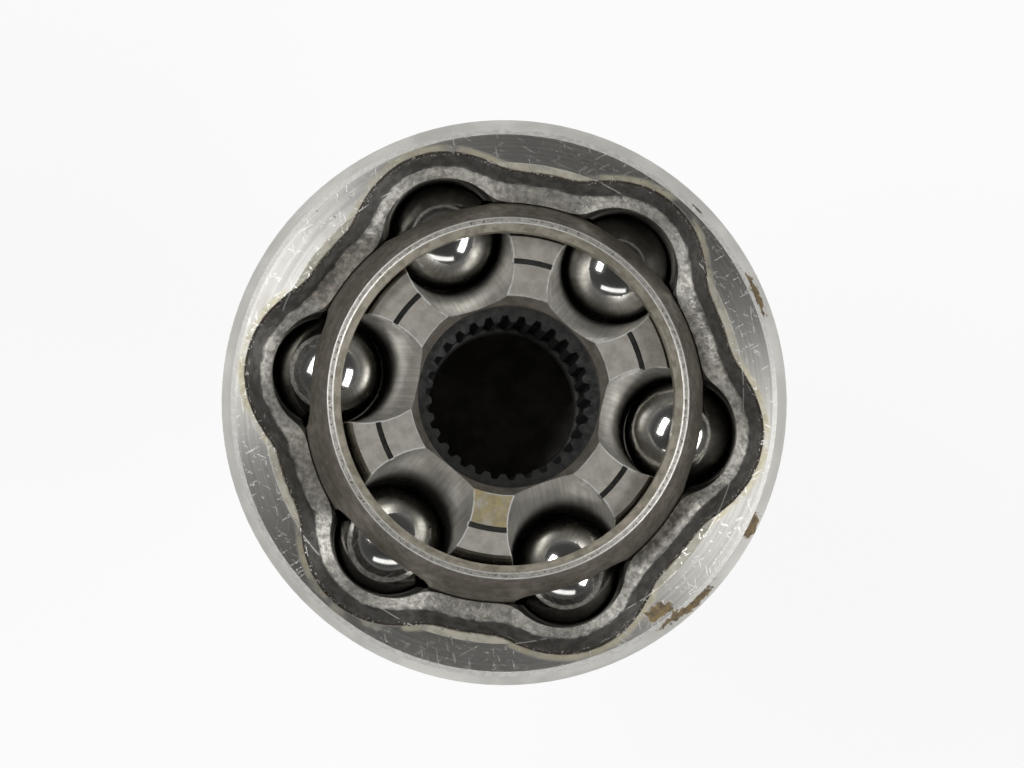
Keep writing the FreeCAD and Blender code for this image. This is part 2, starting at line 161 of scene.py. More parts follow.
# Cone that leads into the race's bore: turned, grey, with a film of oil.
LEAD_IN = Finish("#857f75", "#676359", 3.0, 0.42, 0.54, metallic=0.5, lay=Lay.ROUND,
                 marks_mm=0.3, marks_um=2.0, marks_tone=0.12)
# Old assembly grease at the bottom of the cavity: a dull grey-brown residue, painted pale as light in
# a hollow that the lamps don't reach.
GREASE_AND_PAINTED_LIGHT = Finish("#8d887c", "#736e63", 6.0, 0.45, 0.65, metallic=0.0, grain_mm=3.0, grain_um=120.0)
# Phosphated spring wire: nearly black and matt.
SPRING_WIRE = Finish("#24221f", "#171614", 2.0, 0.55, 0.70, metallic=0.2, grain_mm=0.3, grain_um=1.5)
# Lapped chrome steel ball: a mirror with the faintest haze.
LAPPED = Finish("#c9c8c5", "#bbbab6", 5.0, 0.085, 0.12, grain_mm=0.8, grain_um=0.15)
# Rust bloom: dull orange brown, not metal any more.
RUST = Finish("#7a622b", "#463518", 0.8, 0.75, 0.9, metallic=0.0, grain_mm=0.3, grain_um=25.0)
# Dried oil on the race's face: a thin yellow-brown film.
STAIN = Finish("#a09264", "#877b5c", 1.2, 0.45, 0.6, metallic=0.35, grain_mm=0.3, grain_um=6.0)
# Turned cone at the mouth: fresh cut, cream in the lamps' light.
CONE = Finish("#b3afa1", "#989487", 3.0, 0.50, 0.62, metallic=0.06, lay=Lay.ROUND,
              marks_mm=0.3, marks_um=1.5, marks_tone=0.10)
# Oxide film beside the forged edge: straw colour over bright steel.
STRAW = Finish("#cdc7b0", "#b2ab94", 3.0, 0.42, 0.52, metallic=0.6, lay=Lay.ROUND,
               marks_mm=0.4, marks_um=3.0, marks_tone=0.06)
# Burnt oil caught at an edge: dark brown, dull.
BURNT = Finish("#3c2c1b", "#261c12", 1.2, 0.55, 0.7, metallic=0.35, grain_mm=0.4, grain_um=3.0)
# Bare bright metal where an edge rubs or a nick opened it; also laid along edges as painted highlight
# lines.
NICK_AND_HIGHLIGHT = Finish("#f1f0ec", "#dcdad5", 0.8, 0.42, 0.52)


def linear(code: str) -> tuple[float, float, float, float]:
    """Turns an sRGB hex code into a linear colour.

    Args:
        code: the colour as "#rrggbb".
    Returns:
        Linear red, green, blue and an alpha of 1.
    """
    tones = []
    for start in (1, 3, 5):
        share = int(code[start:start + 2], 16) / 255
        tones.append(share / 12.92 if share <= 0.04045 else ((share + 0.055) / 1.055) ** 2.4)
    return (tones[0], tones[1], tones[2], 1.0)


def add(tree: bpy.types.NodeTree, kind: str, links: Union[dict, Sequence] = (), out: Any = 0,
        **settings: Any) -> bpy.types.NodeSocket:
    """Adds one node with its settings and links.

    Args:
        tree: the tree that gets the node.
        kind: the node's type, without "ShaderNode" for a shader node.
        links: sockets or constant values, by place or by the input's name or number.
        out: which output to hand back.
        **settings: the node's own properties.
    Returns:
        The chosen output socket.
    """
    full = kind if kind.startswith(("Geometry", "NodeGroup", "Function")) else "ShaderNode" + kind
    made = tree.nodes.new(full)
    for name, value in settings.items():
        setattr(made, name, value)
    pairs = links.items() if isinstance(links, dict) else enumerate(links)
    for key, value in pairs:
        if isinstance(value, bpy.types.NodeSocket):
            tree.links.new(value, made.inputs[key])
        elif value is not None:
            made.inputs[key].default_value = value
    return made.outputs[out]


def wear(node: bpy.types.Object, material: bpy.types.Material) -> None:
    """Gives a piece one material in place of those it came with."""
    node.data.materials.clear()
    node.data.materials.append(material)


class Painter:
    """Wires one steel material from finishes, masks and the part's own axes."""

    def __init__(self, name: str, tilt: float = 0.0, centre: Vector = Vector((0, 0, 0))):
        """Starts the material.

        Args:
            name: the material's name.
            tilt: degrees that the part's axis leans at rest, turned about X.
            centre: the part's own centre, in metres.
        """
        self.material = bpy.data.materials.new(name)
        self.material.use_nodes = True
        self.tree = self.material.node_tree
        self.tree.nodes.clear()
        self.seed = 0
        turn = Matrix.Rotation(-math.radians(tilt), 3, "X")
        place = self.add("TexCoord", out="Object")
        self.point = self.add("Mapping", {
            "Vector": place,
            "Location": tuple(turn @ centre / -MM),
            "Rotation": (-math.radians(tilt), 0, 0),
            "Scale": (1 / MM,) * 3,
        })
        split = self.add("SeparateXYZ", [self.point]).node.outputs
        self.x, self.y, self.z = split[0], split[1], split[2]
        self.r = self.length(self.x, self.y)
        self.azimuth = self.calc("ARCTAN2", self.y, self.x)

    def add(self, kind: str, links: Union[dict, Sequence] = (), out: Any = 0,
            **settings: Any) -> bpy.types.NodeSocket:
        """Adds one node to this material's tree; see the function of the same name."""
        return add(self.tree, kind, links, out, **settings)

    def calc(self, operation: str, *values: Value) -> bpy.types.NodeSocket:
        """Folds two or more values into one with the same arithmetic step.

        Args:
            operation: the step, as the Math node names it.
            *values: one value for a step on its own, or those to fold from left to right.
        Returns:
            The result.
        """
        result = self.add("Math", values[:2], operation=operation)
        for value in values[2:]:
            result = self.add("Math", (result, value), operation=operation)
        return result

    def length(self, side: Value, other: Value) -> bpy.types.NodeSocket:
        """Length of the slanted side over two sides that are square to each other."""
        return self.calc("SQRT", self.calc("ADD", self.calc("MULTIPLY", side, side),
                                           self.calc("MULTIPLY", other, other)))

    def turned_from(self, degrees: float, half: float = math.pi) -> bpy.types.NodeSocket:
        """Angle round the part's axis from a direction, in radians, from -half to half."""
        turned = self.calc("SUBTRACT", self.azimuth, math.radians(degrees))
        return self.add("Math", (turned, half, -half), operation="WRAP")

    def between(self, value: Value, low: Optional[Value], high: Optional[Value],
                soft: float = 0.1) -> bpy.types.NodeSocket:
        """Mask of the band between two values, with soft borders.

        Args:
            value: what is tested.
            low: lower border, or None for none.
            high: upper border, or None for none.
            soft: width of each border.
        Returns:
            1 inside the band and 0 outside it.
        """
        sides = []
        for border, sign in ((low, 1.0), (high, -1.0)):
            if border is None:
                continue
            past = self.calc("MULTIPLY", self.calc("SUBTRACT", value, border), sign)
            sides.append(self.add("MapRange", {"Value": past, "From Min": -soft / 2,
                                               "From Max": soft / 2},
                                  interpolation_type="SMOOTHSTEP"))
        return self.calc("MULTIPLY", *sides) if len(sides) > 1 else sides[0]

    def cloud(self, size_mm: float, low: float = 0.35, high: float = 0.65, detail: float = 3.0,
              stretch: Sequence[float] = (1, 1, 1), turn: float = 0.0) -> bpy.types.NodeSocket:
        """Random patches of a real size.

        Args:
            size_mm: distance from patch to patch.
            low: noise level that gives 0.
            high: noise level that gives 1.
            detail: number of finer layers.
            stretch: how much longer the patches are along each axis.
            turn: degrees that the patches are turned about Z before they are stretched.
        Returns:
            The patches from 0 to 1, different at every call.
        """
        self.seed += 1
        turned = self.add("Mapping", {"Vector": self.point,
                                      "Rotation": (0, 0, math.radians(turn))})
        moved = self.add("Mapping", {
            "Vector": turned,
            "Location": tuple(step * self.seed for step in NOISE_STEP),
            "Scale": tuple(1 / (size_mm * along) for along in stretch),
        })
        noise = self.add("TexNoise", {"Vector": moved, "Scale": 1.0, "Detail": detail,
                                      "Roughness": 0.6})
        return self.add("MapRange", {"Value": noise, "From Min": low, "From Max": high},
                        interpolation_type="SMOOTHSTEP")

    def wander(self, size_mm: float, amount: float, low: float = 0.2, high: float = 0.8,
               detail: float = 3.0) -> bpy.types.NodeSocket:
        """Random drift of a border to both sides, amount wide in all; the rest as for cloud."""
        patches = self.cloud(size_mm, low, high, detail)
        return self.calc("MULTIPLY", self.calc("SUBTRACT", patches, 0.5), amount)

    def marks(self, finish: Finish, groove: Optional["TrackAxes"]) -> bpy.types.NodeSocket:
        """Long random tool marks that run along the finish's lay, from 0 to 1."""
        self.seed += 1
        round_x = self.calc("DIVIDE", self.x, self.calc("MAXIMUM", self.r, 0.1))
        round_y = self.calc("DIVIDE", self.y, self.calc("MAXIMUM", self.r, 0.1))
        if finish.lay is Lay.ALONG:
            axes = (self.calc("MULTIPLY", round_x, TOOTH_R / finish.marks_mm),
                    self.calc("MULTIPLY", round_y, TOOTH_R / finish.marks_mm),
                    self.calc("DIVIDE", self.z, STREAK_MM))
        elif finish.lay is Lay.GROOVE and groove:
            axes = (self.calc("MULTIPLY", groove.around, groove.tube_r / finish.marks_mm),
                    self.calc("MULTIPLY", groove.along, groove.track_r / STREAK_MM),
                    self.seed + 0.5)  # sets each call's marks apart
        else:
            axes = (self.calc("DIVIDE", self.calc("ADD", self.r, self.z), finish.marks_mm),
                    self.calc("MULTIPLY", round_x, RING_R / STREAK_MM),
                    self.calc("MULTIPLY", round_y, RING_R / STREAK_MM))
        return self.add("TexNoise", {"Vector": self.add("CombineXYZ", axes), "Scale": 1.0,
                                     "Detail": 2.0, "Roughness": 0.55})

    def paint(self, finish: Finish, groove: Optional["TrackAxes"] = None) -> Look:
        """Wires one finish over the whole part.

        Args:
            finish: the finish to wire.
            groove: the ball tracks' own axes, for a finish whose marks run along them.
        Returns:
            The finish as sockets, ready to be laid over another.
        """
        patch = self.cloud(finish.mottle_mm)
        colour = self.add("Mix", {0: patch, 6: linear(finish.light), 7: linear(finish.dark)},
                          out=2, data_type="RGBA")
        rough = self.add("MapRange", {"Value": patch, "To Min": finish.rough_low,
                                      "To Max": finish.rough_high})
        heights = []
        if finish.grain_um:
            grain = self.cloud(finish.grain_mm, 0.2, 0.8)
            heights.append(self.calc("MULTIPLY", grain, finish.grain_um * MM))
        if finish.lay is not Lay.NONE:
            marks = self.marks(finish, groove)
            heights.append(self.calc("MULTIPLY", marks, finish.marks_um * MM))
            shade = self.add("MapRange", {"Value": marks, "From Min": 0.3, "From Max": 0.7,
                                          "To Min": 1 - finish.marks_tone,
                                          "To Max": 1 + finish.marks_tone})
            colour = self.add("VectorMath", {0: colour, "Scale": shade}, operation="SCALE")
        height = self.calc("ADD", *heights) if len(heights) > 1 else (heights or [0.0])[0]
        return Look(colour, rough, finish.metallic, height)

    def lay_over(self, under: Look, over: Look, mask: Value) -> Look:
        """Lays one look over another where the mask is 1, and returns the result."""
        colour = self.add("Mix", {0: mask, 6: under.colour, 7: over.colour}, out=2,
                          data_type="RGBA")
        rest = [low if low == high else self.add("Mix", {0: mask, 2: low, 3: high})
                for low, high in ((under.roughness, over.roughness),
                                  (under.metallic, over.metallic), (under.height, over.height))]
        return Look(colour, *rest)

    def cover(self, under: Look, finish: Finish, mask: Value,
              groove: Optional["TrackAxes"] = None) -> Look:
        """Lays a finish over a look.

        Args:
            under: the look so far.
            finish: the finish on top.
            mask: 1 where the finish shows and 0 where it doesn't.
            groove: as for paint.
        Returns:
            The result.
        """
        return self.lay_over(under, self.paint(finish, groove), mask)

    def finish_up(self, look: Look, anisotropic: float = 0.0) -> bpy.types.Material:
        """Ends the material in one shader.

        Args:
            look: the finished look.
            anisotropic: how far highlights stretch across tool marks that run round the Z axis.
        Returns:
            The material.
        """
        bump = self.add("Bump", {"Height": look.height, "Distance": MM, "Strength": 1.0})
        shader = self.add("BsdfPrincipled", {
            "Base Color": look.colour,
            "Roughness": look.roughness,
            "Metallic": look.metallic,
            "Normal": bump,
            "Anisotropic": anisotropic,
        })
        if anisotropic:
            tangent = self.add("Tangent", direction_type="RADIAL", axis="Z")
            self.tree.links.new(tangent, shader.node.inputs["Tangent"])
            shader.node.inputs["Anisotropic Rotation"].default_value = QUARTER_TURN
        output = self.tree.nodes.new("ShaderNodeOutputMaterial")
        self.tree.links.new(shader, output.inputs["Surface"])
        return self.material


@dataclass
class TrackAxes:
    """Axes that follow the six ball tracks: across the groove, along it, and out from its middle."""

    tube_r: float
    track_r: float
    lateral: bpy.types.NodeSocket
    radial: bpy.types.NodeSocket
    around: bpy.types.NodeSocket
    along: bpy.types.NodeSocket
    distance: bpy.types.NodeSocket


@dataclass
class BallTracks:
    """Six ball tracks as circles about one point of a race's axis, in millimetres and degrees.

    border_r is how far from a track's middle line its finish ends, just outside the groove itself.
    """

    count: int = 6
    first_at: float = 30.0
    track_r: float = 29.6
    tube_r: float = 8.931
    border_r: float = 9.1
    offset: float = 4.2

    def axes(self, painter: Painter) -> TrackAxes:
        """Wires the tracks' own axes into a material.

        Args:
            painter: the material being wired.
        Returns:
            The axes as sockets.
        """
        folded = painter.turned_from(self.first_at, math.pi / self.count)
        radial = painter.calc("MULTIPLY", painter.r, painter.calc("COSINE", folded))
        lateral = painter.calc("MULTIPLY", painter.r, painter.calc("SINE", folded))
        height = painter.calc("SUBTRACT", painter.z, self.offset)
        out = painter.calc("SUBTRACT", painter.length(radial, height), self.track_r)
        return TrackAxes(self.tube_r, self.track_r, lateral, radial,
                         painter.calc("ARCTAN2", lateral, out),
                         painter.calc("ARCTAN2", height, radial), painter.length(out, lateral))


@dataclass(frozen=True)
class Blemish:
    """A rust spot or nick: where it is round the part, how far out, and its length and width."""

    azimuth: float
    radius: float
    length: float
    width: float


def blemishes(painter: Painter, spots: Sequence[Blemish], ragged: float) -> bpy.types.NodeSocket:
    """Mask of a few ragged spots on a face that is square to the part's axis.

    Args:
        painter: the material being wired.
        spots: the spots, in degrees and millimetres.
        ragged: how far their outline wanders, as a share of their size.
    Returns:
        1 in the spots and 0 outside them.
    """
    edge = painter.wander(1.1, 2 * ragged, 0.0, 1.0, detail=4.0)
    masks = []
    for spot in spots:
        folded = painter.turned_from(spot.azimuth)
        across = painter.calc("DIVIDE", painter.calc("SUBTRACT", painter.r, spot.radius),
                              spot.width / 2)
        along = painter.calc("MULTIPLY", folded, spot.radius / (spot.length / 2))
        far = painter.calc("ADD", painter.length(across, along), edge)
        masks.append(painter.between(far, None, 1.0, 0.35))
    return painter.calc("MAXIMUM", *masks)


@dataclass
class BellZones:
    """Masks and borders that the bell's zones share.

    height is the place along the axis and wave the distance outwards from the mouth's edge; both
    wander a little, as a forging's borders do.
    """

    groove: TrackAxes
    inside: bpy.types.NodeSocket
    forged: bpy.types.NodeSocket
    on_face: bpy.types.NodeSocket
    height: bpy.types.NodeSocket
    wave: bpy.types.NodeSocket


@dataclass
class OuterRace:
    """Bell and stub axle: finishes for its turned, ground, rolled and as-forged zones.

    Lengths are in millimetres. A share says how far a wear mark or a painted highlight covers what
    lies under it.
    """

    face_z: float = 13.0
    face_r: float = 43.68
    lip_r: float = 44.48
    body_end_z: float = -9.9
    seat_top_z: float = -36.0
    pilot_end_z: float = -54.0
    pilot_fillet: float = 1.6
    spline_end_z: float = -96.0
    land_edge_z: float = 7.1
    chamfer_top_z: float = 8.8
    cavity_reach: float = 42.0
    cavity_split_z: float = 0.5
    grease_and_light_z: float = -16.0
    grease_and_light_fade: float = 6.0
    land_mouth_r: float = 38.0
    lobe_mouth_r: float = 14.45
    lobe_centre_r: float = 28.02
    lobe_blend: float = 34.0
    lobe_half_width: float = 9.5
    wall_slope: float = 0.524
    cone_r: float = 39.1
    cone_inner_r: float = 36.5
    cone_slope: float = math.tan(math.radians(22))
    rust_floor_z: float = -3.2
    ridge_share: float = 0.55
    burnt_share: float = 0.85
    witness_and_highlight_share: float = 0.8
    rim_share: float = 0.6
    dent_share: float = 0.55
    rust_share: float = 0.9
    anisotropic: float = 0.8
    tracks: BallTracks = field(default_factory=BallTracks)
    rust: tuple = (
        Blemish(166.5, 42.2, 4.4, 2.3), Blemish(168.0, 44.9, 6.0, 2.0),
        Blemish(174.0, 45.6, 8.0, 2.0), Blemish(193.5, 45.8, 4.4, 1.9),
        Blemish(-117.0, 45.2, 8.0, 1.7), Blemish(-95.0, 44.9, 2.2, 1.2),
    )

    def mouth_gap(self, painter: Painter, groove: TrackAxes) -> bpy.types.NodeSocket:
        """Distance outwards from the edge of the forged mouth wall, in millimetres."""
        side = painter.calc("MULTIPLY", groove.lateral,
                            painter.calc("DIVIDE", self.lobe_centre_r, painter.r))
        along = painter.calc("MULTIPLY", groove.radial,
                             painter.calc("DIVIDE", self.lobe_centre_r, painter.r))
        depth = painter.calc("SUBTRACT", self.lobe_mouth_r ** 2,
                             painter.calc("MULTIPLY", side, side))
        lobe = painter.calc("ADD", along,
                            painter.calc("SQRT", painter.calc("MAXIMUM", depth, 0.0)))
        swell = painter.calc("POWER", painter.calc("DIVIDE", lobe, self.land_mouth_r),
                             self.lobe_blend)
        at_face = painter.calc("MULTIPLY", self.land_mouth_r, painter.calc(
            "POWER", painter.calc("ADD", swell, 1.0), 1 / self.lobe_blend))
        lean = self.wall_slope * self.cone_slope
        on_cone = painter.calc("DIVIDE", painter.calc("SUBTRACT", at_face, lean * self.cone_r),
                               1 - lean)
        return painter.calc("SUBTRACT", painter.r, painter.calc("MINIMUM", at_face, on_cone))

    def inside(self, p: Painter) -> bpy.types.NodeSocket:
        """Mask of everything inside the bell: within its cavity below, within its face above."""
        low = p.calc("MULTIPLY", p.between(p.length(p.r, p.z), None, self.cavity_reach),
                     p.between(p.z, None, self.cavity_split_z))
        high = p.calc("MULTIPLY", p.between(p.r, None, self.face_r - 0.2),
                      p.between(p.z, self.cavity_split_z, None))
        return p.calc("MAXIMUM", low, high)

    def outside(self, p: Painter) -> Look:
        """Paints the outside, from the stub's end up to the mouth."""
        look = p.paint(THREAD)
        look = p.cover(look, ROLLED, p.between(p.z, self.spline_end_z, None))
        look = p.cover(look, GROUND, p.between(p.z, self.pilot_end_z + self.pilot_fillet, None))
        look = p.cover(look, SCALE, p.between(p.z, self.seat_top_z + 0.05, None))
        return p.cover(look, SATIN, p.between(p.z, self.body_end_z - 0.1, None))

    def zones(self, p: Painter) -> BellZones:
        """Wires the masks and borders that the zones share."""
        groove = self.tracks.axes(p)
        wave = p.calc("ADD", self.mouth_gap(p, groove), p.wander(2.2, 0.22))
        height = p.calc("ADD", p.z, p.wander(3.2, 1.1))
        inside = self.inside(p)
        forged = p.calc("MULTIPLY", inside, p.between(height, self.chamfer_top_z, None, 0.9))
        on_face = p.calc("MULTIPLY", p.between(p.z, self.face_z - 0.04, None, 0.02),
                         p.between(p.r, None, self.face_r + 0.05, 0.05))
        return BellZones(groove, inside, forged, on_face, height, wave)

    def cavity(self, p: Painter, look: Look, zones: BellZones) -> Look:
        """Paints the spherical bore, its tracks, the grease below with painted light in the unlit
        bottom, and the pitted ledge above.
        """
        look = p.cover(look, BORE, zones.inside)
        on_track = p.calc("MULTIPLY", zones.inside,
                          p.between(zones.groove.distance, None, self.tracks.border_r, 0.12),
                          p.between(p.z, None, self.land_edge_z))
        look = p.cover(look, TRACK, on_track, zones.groove)
        # Painted light, with grease: the cavity's unlit bottom is laid in a pale tone.
        greasy_and_lit = p.between(p.z, None, self.grease_and_light_z, self.grease_and_light_fade)
        look = p.cover(look, GREASE_AND_PAINTED_LIGHT, p.calc("MULTIPLY", zones.inside, greasy_and_lit))
        above_land = p.between(p.z, self.land_edge_z - 0.02, None, 0.06)
        return p.cover(look, PITTED, p.calc("MULTIPLY", zones.inside, above_land))

    def forged_wall(self, p: Painter, look: Look, zones: BellZones) -> Look:
        """Paints the mouth's forged wall, and a painted highlight along the ridge at its foot inside
        the lobes.
        """
        look = p.cover(look, SCALE, zones.forged)
        off_middle = p.calc("ABSOLUTE", zones.groove.lateral)
        in_lobe = p.between(off_middle, None, self.lobe_half_width, 3.0)
        at_foot = p.between(zones.height, self.chamfer_top_z - 0.7, self.chamfer_top_z + 0.1, 0.2)
        # Painted highlight: a bright line where the pitted ledge meets the forged wall.
        ridge = p.calc("MULTIPLY", zones.inside, in_lobe, at_foot, p.cloud(0.9, 0.5, 0.62))
        return p.cover(look, NICK_AND_HIGHLIGHT, p.calc("MULTIPLY", ridge, self.ridge_share))

    def turned_face(self, p: Painter, look: Look, zones: BellZones) -> Look:
        """Paints the turned face and the cone that is turned into the mouth."""
        look = p.cover(look, TURNED, zones.on_face)
        cone_height = p.calc("ADD", p.z, p.calc("MULTIPLY", self.cone_slope,
                                                p.calc("SUBTRACT", self.cone_r, p.r)))
        on_cone = p.calc("MULTIPLY", p.between(cone_height, self.face_z - 0.05,
                                               self.face_z + 0.05, 0.04),
                         p.between(p.r, self.cone_inner_r, self.cone_r + 0.02, 0.04))
        return p.cover(look, CONE, on_cone)

    def mouth_edge(self, p: Painter, look: Look, zones: BellZones) -> Look:
        """Paints the straw film, the burnt line, and the worn edges round the mouth, which carry
        painted highlight lines.
        """
        straw = p.calc("MULTIPLY", zones.on_face, p.between(zones.wave, 0.0, 1.1, 0.7),
                       p.cloud(9.0, 0.34, 0.5))
        look = p.cover(look, STRAW, straw)
        near_mouth = p.between(p.z, self.face_z - 1.2, None, 0.5)
        burnt = p.calc("MULTIPLY", near_mouth, p.between(zones.wave, -0.24, 0.14, 0.34),
                       p.cloud(5.0, 0.2, 0.34))
        look = p.cover(look, BURNT, p.calc("MULTIPLY", burnt, self.burnt_share))
        # Painted highlight, with wear: a bright broken line where the turned cone meets the forged
        # wall.
        at_cone = p.between(p.r, self.cone_r - 0.08, self.cone_r + 0.08, 0.08)
        witness_and_highlight = p.calc("MULTIPLY", zones.forged, at_cone, p.cloud(4.0, 0.46, 0.52))
        look = p.cover(look, NICK_AND_HIGHLIGHT, p.calc("MULTIPLY", witness_and_highlight, self.witness_and_highlight_share))
        # Painted highlight, with wear: the face's edge chamfer laid bright.
        rim = p.calc("MULTIPLY", p.between(p.r, self.face_r - 0.02, self.lip_r + 0.02, 0.05),
                     p.between(p.z, self.face_z - 1.02, self.face_z - 0.02, 0.02))
        return p.cover(look, NICK_AND_HIGHLIGHT, p.calc("MULTIPLY", rim, self.rim_share))

    def age(self, p: Painter, look: Look, zones: BellZones) -> Look:
        """Paints scratches, nicks, dents and rust."""
        scratches = p.calc("MAXIMUM", *(p.cloud(0.35, 0.68, 0.72, 1.0, (1, 9, 1), turn)
                                        for turn in (20, 75, 130)))
        nicks = p.calc("MULTIPLY", p.between(p.z, self.face_z - 1.0, None, 0.1),
                       p.calc("MAXIMUM", p.cloud(0.8, 0.69, 0.73, detail=1.0), scratches))
        look = p.cover(look, NICK_AND_HIGHLIGHT, nicks)
        dents = p.calc("MULTIPLY", zones.on_face,
                       p.cloud(1.1, 0.76, 0.80, detail=1.0, stretch=(1.6, 0.8, 1)))
        look = p.cover(look, BURNT, p.calc("MULTIPLY", dents, self.dent_share))
        rusty = p.calc("MULTIPLY", blemishes(p, self.rust, 0.8),
                       p.between(p.z, self.rust_floor_z, None, 0.4))
        return p.cover(look, RUST, p.calc("MULTIPLY", rusty, self.rust_share))

    def dress(self, node: bpy.types.Object) -> None:
        """Gives the outer race its material, zone by zone."""
        p = Painter("turned_and_forged_steel")
        zones = self.zones(p)
        look = self.outside(p)
        for stage in (self.cavity, self.forged_wall, self.turned_face, self.mouth_edge, self.age):
            look = stage(p, look, zones)
        wear(node, p.finish_up(look, self.anisotropic))
        LOG.info("%s dressed: turned face, forged mouth, tracks, bands, spline", node.name)


@dataclass
class Cage:
    """Ball cage: spherical outside, ground end rings, bevelled lip."""

    tilt: float = 4.2
    half_width: float = 16.0
    outer_r: float = 33.4
    opening_r: float = 27.15
    bevel: float = 1.25
    edge_round: float = 0.2
    edge_drop: float = 0.11
    anisotropic: float = 0.35

    def dress(self, node: bpy.types.Object) -> None:
        """Gives the cage its material."""
        p = Painter("case_hardened_cage_steel", self.tilt)
        level = p.calc("ABSOLUTE", p.z)
        ring_outer_r = math.sqrt(self.outer_r ** 2 - self.half_width ** 2)
        ring_inner_r = self.opening_r + self.bevel
        look = p.paint(CAGE_SPHERE)
        on_lip = p.between(p.r, None, ring_inner_r, 0.05)
        look = p.cover(look, CAGE_LIP, on_lip)
        on_ring = p.between(level, self.half_width - 0.03, None, 0.03)
        look = p.cover(look, CAGE_RING, on_ring)
        pores = p.calc("MULTIPLY", on_ring, p.cloud(0.5, 0.60, 0.66, detail=1.0))
        look = p.cover(look, CAGE_SPHERE, pores)
        # Painted highlight lines, with wear: the end rings' outer and inner edges laid bright.
        near_end = p.between(level, self.half_width - 0.3, None, 0.1)
        edges = p.calc("MAXIMUM", p.between(p.r, ring_outer_r - 0.17, ring_outer_r + 0.06, 0.04),
                       p.between(p.r, ring_inner_r - 0.06, ring_inner_r + 0.17, 0.04))
        rubbed_and_highlit = p.calc("MULTIPLY", near_end, edges, p.cloud(9.0, 0.15, 0.4))
        look = p.cover(look, NICK_AND_HIGHLIGHT, rubbed_and_highlit)
        off_edge = p.calc("MINIMUM", p.calc("SUBTRACT", ring_outer_r, p.r),
                          p.calc("SUBTRACT", p.r, ring_inner_r))
        rounding = p.add("MapRange", {"Value": off_edge, "From Min": 0.0, "From Max": self.edge_round,
                                      "To Min": -self.edge_drop, "To Max": 0.0},
                         interpolation_type="SMOOTHSTEP")
        look.height = p.calc("ADD", look.height, p.calc("MULTIPLY", rounding, on_ring))
        wear(node, p.finish_up(look, self.anisotropic))
        LOG.info("%s dressed: sphere, end rings, lip, rubbed edges", node.name)


